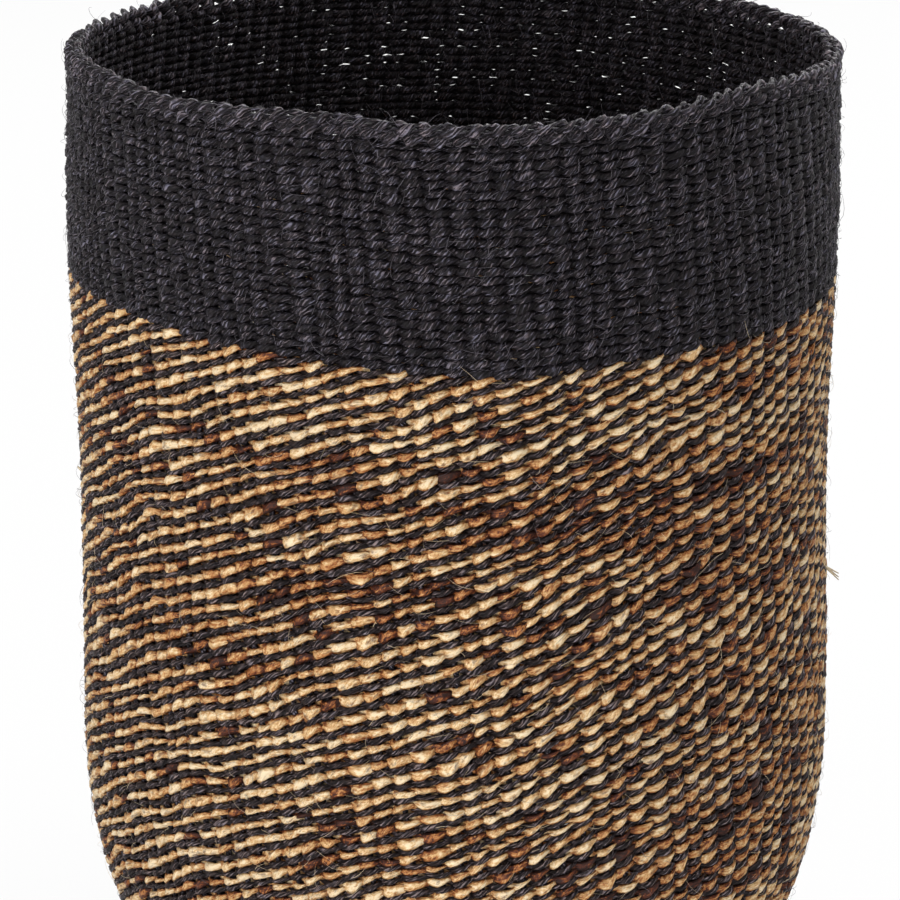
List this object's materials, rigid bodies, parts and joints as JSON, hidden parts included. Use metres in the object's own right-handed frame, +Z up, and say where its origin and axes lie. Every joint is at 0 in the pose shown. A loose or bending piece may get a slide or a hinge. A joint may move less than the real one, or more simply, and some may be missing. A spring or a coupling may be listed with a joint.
{
  "type": "sisal basket",
  "caption": "Round open storage basket twined from sisal and plant fibre, with a two-tone speckled wall, a black band under a folded rim and a flat base.",
  "frame": {"origin": "centre of the flat underside, where the basket stands on the ground", "axes": "+Z up along the basket's axis towards its mouth, -Y towards the viewer of the picture, +X to the viewer's right"},
  "size_m": [0.3032, 0.3032, 0.385],
  "materials": {
    "natural_fibre": "undyed plant-fibre strip, straw to reddish brown, with a low sheen along the fibre",
    "two_tone_weave": "undyed strips and black sisal cord twined turn about, with a speckled look from a step away",
    "black_sisal": "dyed black sisal cord, twisted, matt with fine paler fibres"
  },
  "bodies": {
    "root": {"base_start_knot": "natural_fibre", "base_weave": "two_tone_weave", "heel_weave": "two_tone_weave", "two_tone_wall_weave": "two_tone_weave", "black_band_weave": "black_sisal", "rim_fold": "black_sisal", "rim_edge_cord_outer": "black_sisal", "rim_edge_cord_inner": "black_sisal"}
  },
  "joints": []
}
